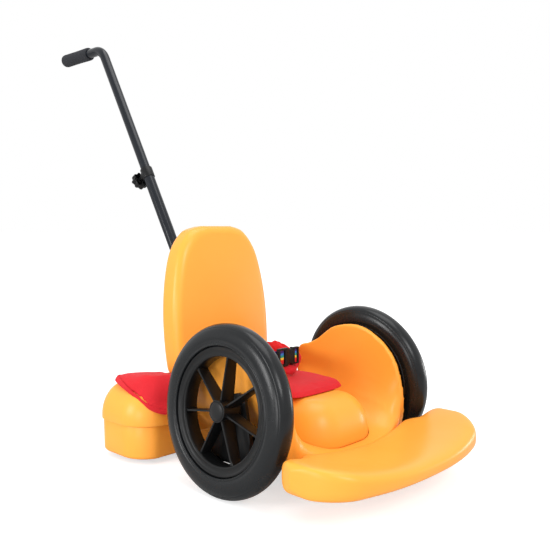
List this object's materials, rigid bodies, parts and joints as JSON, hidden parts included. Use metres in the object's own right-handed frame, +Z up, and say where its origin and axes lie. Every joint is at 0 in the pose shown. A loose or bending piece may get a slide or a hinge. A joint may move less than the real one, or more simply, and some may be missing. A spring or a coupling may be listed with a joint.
{
  "type": "toddler mobility ride-on",
  "caption": "Low ride-on chair for a toddler: cambered hand-driven wheels, side guards, footrest, castors, backrest, lap belt and a telescoping push handle.",
  "frame": {"origin": "on the floor, in the middle of the width and halfway between the footrest's front and the grip's rear end", "axes": "+Z up, -Y the way the child faces, +X the child's left"},
  "size_m": [0.447, 1.108, 0.89],
  "materials": {
    "orange_moulding": "satin moulded polyethylene",
    "red_fabric": "coated woven cover",
    "tyre_rubber": "smooth rubber",
    "black_nylon": "moulded nylon",
    "black_painted_steel": "gloss powder coat",
    "bright_steel": "zinc plated",
    "grey_tread": "moulded tread",
    "black_foam": "closed-cell foam",
    "striped_webbing": "woven striped webbing"
  },
  "bodies": {
    "chassis": {"seat_body_shell": "orange_moulding", "rear_lower_shell": "orange_moulding", "side_guard_tub": "orange_moulding", "footrest": "orange_moulding", "footrest_tube_left": "black_painted_steel", "footrest_tube_right": "black_painted_steel", "chassis_plate": "black_painted_steel", "axle_bracket_left": "black_nylon", "axle_bracket_right": "black_nylon", "bracket_bolt_left_1": "bright_steel", "bracket_bolt_left_2": "bright_steel", "bracket_bolt_right_1": "bright_steel", "bracket_bolt_right_2": "bright_steel", "axle_left": "bright_steel", "axle_right": "bright_steel", "bearing_spacer_left": "bright_steel", "bearing_spacer_right": "bright_steel", "castor_base_front_left": "bright_steel", "castor_base_front_right": "bright_steel", "castor_base_rear_left": "bright_steel", "castor_base_rear_right": "bright_steel", "backrest": "orange_moulding", "backrest_bracket": "black_painted_steel", "lower_pole": "black_painted_steel", "pole_socket": "black_nylon", "pole_grommet": "black_nylon", "clamp_collar": "black_nylon", "seat_pad": "red_fabric", "belt_strap_left": "red_fabric", "belt_strap_right": "red_fabric", "belt_webbing_left": "striped_webbing", "belt_webbing_right": "striped_webbing", "belt_pad": "red_fabric", "buckle_socket": "black_nylon", "buckle_prongs": "black_nylon"},
    "wheel_left": {"tyre_left": "tyre_rubber", "spoked_rim_left": "black_nylon", "hub_cap_left": "black_nylon", "outer_bearing_left": "bright_steel", "inner_bearing_left": "bright_steel"},
    "wheel_right": {"tyre_right": "tyre_rubber", "spoked_rim_right": "black_nylon", "hub_cap_right": "black_nylon", "outer_bearing_right": "bright_steel", "inner_bearing_right": "bright_steel"},
    "fork_front_left": {"castor_fork_front_left": "black_nylon", "castor_axle_front_left": "bright_steel"},
    "fork_front_right": {"castor_fork_front_right": "black_nylon", "castor_axle_front_right": "bright_steel"},
    "fork_rear_left": {"castor_fork_rear_left": "black_nylon", "castor_axle_rear_left": "bright_steel"},
    "fork_rear_right": {"castor_fork_rear_right": "black_nylon", "castor_axle_rear_right": "bright_steel"},
    "roller_front_left": {"castor_wheel_front_left": "grey_tread"},
    "roller_front_right": {"castor_wheel_front_right": "grey_tread"},
    "roller_rear_left": {"castor_wheel_rear_left": "grey_tread"},
    "roller_rear_right": {"castor_wheel_rear_right": "grey_tread"},
    "handle": {"upper_tube": "black_painted_steel", "handle_grip": "black_foam"},
    "knob": {"clamp_knob": "black_nylon"}
  },
  "joints": [
    {"name": "wheel_spin_left", "type": "hinge", "parent": "chassis", "child": "wheel_left", "pos_m": [0.19, -0.26903, 0.14364], "axis": [0.9952, 0, 0.0976], "continuous": true},
    {"name": "wheel_spin_right", "type": "hinge", "parent": "chassis", "child": "wheel_right", "pos_m": [-0.19, -0.26903, 0.14364], "axis": [-0.9952, 0, 0.0976], "continuous": true},
    {"name": "swivel_front_left", "type": "hinge", "parent": "chassis", "child": "fork_front_left", "pos_m": [0.066, -0.18702, 0.05], "axis": [0, 0, 1], "continuous": true},
    {"name": "swivel_front_right", "type": "hinge", "parent": "chassis", "child": "fork_front_right", "pos_m": [-0.066, -0.18702, 0.05], "axis": [0, 0, 1], "continuous": true},
    {"name": "swivel_rear_left", "type": "hinge", "parent": "chassis", "child": "fork_rear_left", "pos_m": [0.128, -0.01103, 0.064], "axis": [0, 0, 1], "continuous": true},
    {"name": "swivel_rear_right", "type": "hinge", "parent": "chassis", "child": "fork_rear_right", "pos_m": [-0.128, -0.01103, 0.064], "axis": [0, 0, 1], "continuous": true},
    {"name": "roll_front_left", "type": "hinge", "parent": "fork_front_left", "child": "roller_front_left", "pos_m": [0.066, -0.17203, 0.023], "axis": [1, 0, 0], "continuous": true},
    {"name": "roll_front_right", "type": "hinge", "parent": "fork_front_right", "child": "roller_front_right", "pos_m": [-0.066, -0.17203, 0.023], "axis": [1, 0, 0], "continuous": true},
    {"name": "roll_rear_left", "type": "hinge", "parent": "fork_rear_left", "child": "roller_rear_left", "pos_m": [0.128, 0.00398, 0.023], "axis": [1, 0, 0], "continuous": true},
    {"name": "roll_rear_right", "type": "hinge", "parent": "fork_rear_right", "child": "roller_rear_right", "pos_m": [-0.128, 0.00398, 0.023], "axis": [1, 0, 0], "continuous": true},
    {"name": "handle_slide", "type": "slide", "parent": "chassis", "child": "handle", "axis": [0, 0.5045, 0.8634], "range_m": [-0.2, 0]},
    {"name": "knob_turn", "type": "hinge", "parent": "chassis", "child": "knob", "pos_m": [0, 0.20438, 0.56866], "axis": [0, 0.8634, -0.5045], "range_deg": [0, 360]}
  ]
}
